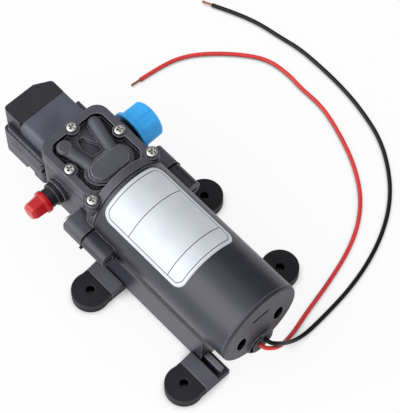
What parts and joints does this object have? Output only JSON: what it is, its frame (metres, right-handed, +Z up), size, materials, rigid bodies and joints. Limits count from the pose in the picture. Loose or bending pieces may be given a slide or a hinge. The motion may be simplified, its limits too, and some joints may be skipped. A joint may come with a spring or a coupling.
{
  "type": "diaphragm pump",
  "caption": "Small electric diaphragm water pump: motor in a plastic sleeve, pump head with pressure switch, two capped ports, sliding rubber feet and two bare-ended leads.",
  "frame": {"origin": "on the ground, under the middle of the pump's length and width without its leads", "axes": "+X along the motor axis towards the leads, +Y towards the inlet, +Z up"},
  "size_m": [0.1799, 0.1877, 0.0584],
  "materials": {
    "charcoal_plastic": "satin, fine moulded texture",
    "black_plastic": "satin",
    "grey_plastic": "satin",
    "foot_rubber": "matt",
    "seal_rubber": "matt",
    "blue_plastic": "satin",
    "red_plastic": "soft gloss",
    "screw_nickel": "bright nickel",
    "motor_steel": "zinc plated",
    "shaft_steel": "ground",
    "magnet_ferrite": "sintered",
    "core_iron": "stacked sheets",
    "copper": "bright copper",
    "terminal_brass": "plain",
    "brush_carbon": "sintered carbon",
    "motor_plastic": "moulded",
    "mechanism_plastic": "moulded",
    "plate_aluminium": "turned",
    "label_film": "silver white film",
    "red_sheath": "soft plastic sheath",
    "black_sheath": "soft plastic sheath"
  },
  "bodies": {
    "pump_body": {"brush_card": "motor_plastic", "brush_springs": "shaft_steel", "brushes": "brush_carbon", "crankcase": "charcoal_plastic", "diaphragm": "seal_rubber", "ear_screws": "screw_nickel", "front_bearing": "shaft_steel", "head_cover": "charcoal_plastic", "head_screws": "screw_nickel", "housing_gasket": "seal_rubber", "inlet_fitting": "black_plastic", "inlet_valve_seat": "mechanism_plastic", "inner_lead_black": "black_sheath", "inner_leads_red": "red_sheath", "label": "label_film", "lead_black": "black_sheath", "lead_ends": "copper", "lead_grommet": "seal_rubber", "lead_red": "red_sheath", "microswitch": "motor_plastic", "motor_can": "motor_steel", "motor_end_bell": "motor_plastic", "motor_end_cap": "black_plastic", "motor_housing": "charcoal_plastic", "motor_magnets": "magnet_ferrite", "motor_terminals": "terminal_brass", "outlet_fitting": "black_plastic", "port_seal_rings": "seal_rubber", "rear_bush": "terminal_brass", "switch_base": "black_plastic", "switch_cover": "grey_plastic", "switch_diaphragm": "seal_rubber", "switch_front_cap": "black_plastic", "switch_mount_screws": "screw_nickel", "switch_screws": "screw_nickel", "switch_spring": "shaft_steel", "switch_water_block": "black_plastic", "valve_plate": "charcoal_plastic"},
    "rotor": {"motor_shaft": "shaft_steel", "armature_core": "core_iron", "armature_windings": "copper", "commutator": "copper", "cooling_fan": "motor_plastic", "eccentric": "plate_aluminium", "eccentric_grub_screw": "shaft_steel", "counterweight": "core_iron"},
    "rod": {"crank_bearing": "shaft_steel", "connecting_rod": "mechanism_plastic", "piston_plate": "plate_aluminium", "piston_screw": "screw_nickel"},
    "inlet_valve_disc": {"inlet_valve": "seal_rubber"},
    "outlet_valve_disc": {"outlet_valve": "seal_rubber"},
    "plunger": {"switch_plunger": "mechanism_plastic"},
    "blue_cap": {"inlet_cap": "blue_plastic"},
    "red_cap": {"outlet_cap": "red_plastic"},
    "front_left_foot": {"foot_front_left": "foot_rubber"},
    "front_right_foot": {"foot_front_right": "foot_rubber"},
    "rear_left_foot": {"foot_rear_left": "foot_rubber"},
    "rear_right_foot": {"foot_rear_right": "foot_rubber"}
  },
  "joints": [
    {"name": "rotor_spin", "type": "hinge", "parent": "pump_body", "child": "rotor", "pos_m": [0, 0, 0.0348], "axis": [1, 0, 0], "continuous": true, "deforming": ["diaphragm"]},
    {"name": "rod_orbit", "type": "hinge", "parent": "rotor", "child": "rod", "pos_m": [-0.0285, 0, 0.0336], "axis": [1, 0, 0], "continuous": true},
    {"name": "inlet_valve_lift", "type": "slide", "parent": "pump_body", "child": "inlet_valve_disc", "axis": [0, 0, -1], "range_m": [0, 0.0006], "stiffness_N_per_m": 20},
    {"name": "outlet_valve_lift", "type": "slide", "parent": "pump_body", "child": "outlet_valve_disc", "axis": [0, 0, 1], "range_m": [0, 0.0006], "stiffness_N_per_m": 20},
    {"name": "switch_plunger_lift", "type": "slide", "parent": "pump_body", "child": "plunger", "axis": [0, 0, 1], "range_m": [0, 0.0008], "stiffness_N_per_m": 2000, "deforming": ["switch_spring", "switch_diaphragm"]},
    {"name": "inlet_cap_pull", "type": "slide", "parent": "pump_body", "child": "blue_cap", "axis": [0, 1, 0], "range_m": [0, 0.04]},
    {"name": "outlet_cap_pull", "type": "slide", "parent": "pump_body", "child": "red_cap", "axis": [0, -1, 0], "range_m": [0, 0.04]},
    {"name": "front_left_foot_slide", "type": "slide", "parent": "pump_body", "child": "front_left_foot", "axis": [1, 0, 0], "range_m": [-0.001, 0.018]},
    {"name": "front_right_foot_slide", "type": "slide", "parent": "pump_body", "child": "front_right_foot", "axis": [1, 0, 0], "range_m": [-0.001, 0.018]},
    {"name": "rear_left_foot_slide", "type": "slide", "parent": "pump_body", "child": "rear_left_foot", "axis": [1, 0, 0], "range_m": [-0.029, 0]},
    {"name": "rear_right_foot_slide", "type": "slide", "parent": "pump_body", "child": "rear_right_foot", "axis": [1, 0, 0], "range_m": [-0.016, 0.006]}
  ],
  "couplings": [
    {"joint": "rod_orbit", "follows": "rotor_spin", "ratio": -1}
  ]
}
